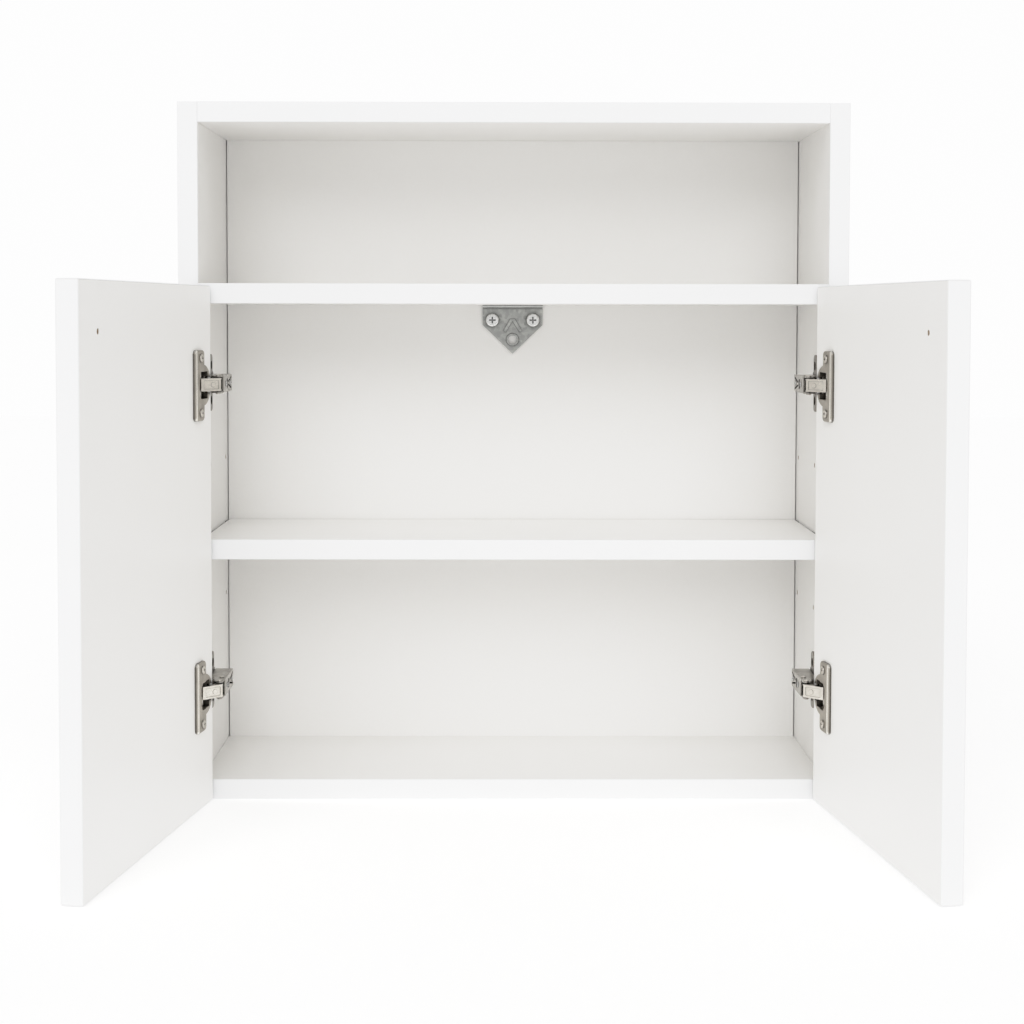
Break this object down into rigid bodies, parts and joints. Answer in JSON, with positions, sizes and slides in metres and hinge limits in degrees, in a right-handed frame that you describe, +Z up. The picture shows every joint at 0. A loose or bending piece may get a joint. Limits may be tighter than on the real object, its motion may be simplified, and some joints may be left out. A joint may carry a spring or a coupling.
{
  "type": "hanging wall cabinet",
  "caption": "Hanging wall cabinet with an open niche above two doors on concealed cup hinges, a fixed shelf and an adjustable shelf.",
  "frame": {"origin": "middle of the cabinet's back, on the plane of the wall", "axes": "+X to the right seen from the front, +Y into the wall, +Z up; the doors are on the -Y side and stand open at rest"},
  "size_m": [0.6673, 0.48, 0.627],
  "materials": {
    "white_board": "foil-faced particle board, white, satin",
    "nickel_plate": "nickel plated, satin",
    "zinc_steel": "zinc plated sheet steel",
    "cast_zinc": "die-cast zinc, dull",
    "dowel_wood": "beech, untreated"
  },
  "bodies": {
    "carcass": {"arm_clamp_screws": "nickel_plate", "back_panel": "white_board", "back_panel_screws": "zinc_steel", "bottom_panel": "white_board", "cam_bolts": "zinc_steel", "cam_housings": "cast_zinc", "fixed_shelf": "white_board", "hinge_arm_pins": "nickel_plate", "hinge_springs": "nickel_plate", "left_lower_hinge_arm": "nickel_plate", "left_lower_mounting_plate": "nickel_plate", "left_side_panel": "white_board", "left_upper_hinge_arm": "nickel_plate", "left_upper_mounting_plate": "nickel_plate", "mounting_plate_screws": "nickel_plate", "right_lower_hinge_arm": "nickel_plate", "right_lower_mounting_plate": "nickel_plate", "right_side_panel": "white_board", "right_upper_hinge_arm": "nickel_plate", "right_upper_mounting_plate": "nickel_plate", "shelf_supports": "zinc_steel", "side_adjusting_screws": "nickel_plate", "top_panel": "white_board", "wall_bracket": "zinc_steel", "wall_bracket_screws": "zinc_steel", "wood_dowels": "dowel_wood"},
    "left_door": {"left_door": "white_board", "left_upper_hinge_cup": "nickel_plate", "left_lower_hinge_cup": "nickel_plate", "left_cup_pins": "nickel_plate", "left_cup_screws": "nickel_plate"},
    "left_upper_inner_link": {"left_upper_inner_link": "nickel_plate"},
    "left_upper_outer_link": {"left_upper_outer_link": "nickel_plate"},
    "left_lower_inner_link": {"left_lower_inner_link": "nickel_plate"},
    "left_lower_outer_link": {"left_lower_outer_link": "nickel_plate"},
    "right_door": {"right_door": "white_board", "right_upper_hinge_cup": "nickel_plate", "right_lower_hinge_cup": "nickel_plate", "right_cup_pins": "nickel_plate", "right_cup_screws": "nickel_plate"},
    "right_upper_inner_link": {"right_upper_inner_link": "nickel_plate"},
    "right_upper_outer_link": {"right_upper_outer_link": "nickel_plate"},
    "right_lower_inner_link": {"right_lower_inner_link": "nickel_plate"},
    "right_lower_outer_link": {"right_lower_outer_link": "nickel_plate"},
    "adjustable_shelf": {"adjustable_shelf": "white_board"}
  },
  "joints": [
    {"name": "left_upper_inner_link_turn", "type": "hinge", "parent": "carcass", "child": "left_upper_inner_link", "pos_m": [-0.264, -0.17247, 0.062], "axis": [0, 0, 1], "range_deg": [-34.32, 0]},
    {"name": "left_upper_outer_link_turn", "type": "hinge", "parent": "carcass", "child": "left_upper_outer_link", "pos_m": [-0.2635, -0.18906, 0.062], "axis": [0, 0, 1], "range_deg": [-42.35, 0]},
    {"name": "left_lower_inner_link_turn", "type": "hinge", "parent": "carcass", "child": "left_lower_inner_link", "pos_m": [-0.264, -0.17247, -0.2121], "axis": [0, 0, 1], "range_deg": [-34.32, 0]},
    {"name": "left_lower_outer_link_turn", "type": "hinge", "parent": "carcass", "child": "left_lower_outer_link", "pos_m": [-0.2635, -0.18906, -0.2121], "axis": [0, 0, 1], "range_deg": [-42.35, 0]},
    {"name": "left_door_swing", "type": "hinge", "parent": "left_upper_inner_link", "child": "left_door", "pos_m": [-0.27481, -0.19744, 0.062], "axis": [0, 0, 1], "range_deg": [0, 133.62]},
    {"name": "right_upper_inner_link_turn", "type": "hinge", "parent": "carcass", "child": "right_upper_inner_link", "pos_m": [0.264, -0.17247, 0.062], "axis": [0, 0, -1], "range_deg": [-33.97, 0.35]},
    {"name": "right_upper_outer_link_turn", "type": "hinge", "parent": "carcass", "child": "right_upper_outer_link", "pos_m": [0.2635, -0.18906, 0.062], "axis": [0, 0, -1], "range_deg": [-41.92, 0.43]},
    {"name": "right_lower_inner_link_turn", "type": "hinge", "parent": "carcass", "child": "right_lower_inner_link", "pos_m": [0.264, -0.17247, -0.2121], "axis": [0, 0, -1], "range_deg": [-33.97, 0.35]},
    {"name": "right_lower_outer_link_turn", "type": "hinge", "parent": "carcass", "child": "right_lower_outer_link", "pos_m": [0.2635, -0.18906, -0.2121], "axis": [0, 0, -1], "range_deg": [-41.92, 0.43]},
    {"name": "right_door_swing", "type": "hinge", "parent": "right_upper_inner_link", "child": "right_door", "pos_m": [0.27496, -0.19737, 0.062], "axis": [0, 0, -1], "range_deg": [-1.35, 132.27]},
    {"name": "adjustable_shelf_lift", "type": "slide", "parent": "carcass", "child": "adjustable_shelf", "axis": [0, 0, 1], "range_m": [0, 0.0668]}
  ],
  "couplings": [
    {"joint": "left_upper_inner_link_turn", "follows": "left_door_swing", "ratio": -0.25684},
    {"joint": "left_upper_outer_link_turn", "follows": "left_door_swing", "ratio": -0.31694},
    {"joint": "left_lower_inner_link_turn", "follows": "left_door_swing", "ratio": -0.25684},
    {"joint": "left_lower_outer_link_turn", "follows": "left_door_swing", "ratio": -0.31694},
    {"joint": "right_upper_inner_link_turn", "follows": "right_door_swing", "ratio": -0.25684},
    {"joint": "right_upper_outer_link_turn", "follows": "right_door_swing", "ratio": -0.31694},
    {"joint": "right_lower_inner_link_turn", "follows": "right_door_swing", "ratio": -0.25684},
    {"joint": "right_lower_outer_link_turn", "follows": "right_door_swing", "ratio": -0.31694}
  ]
}
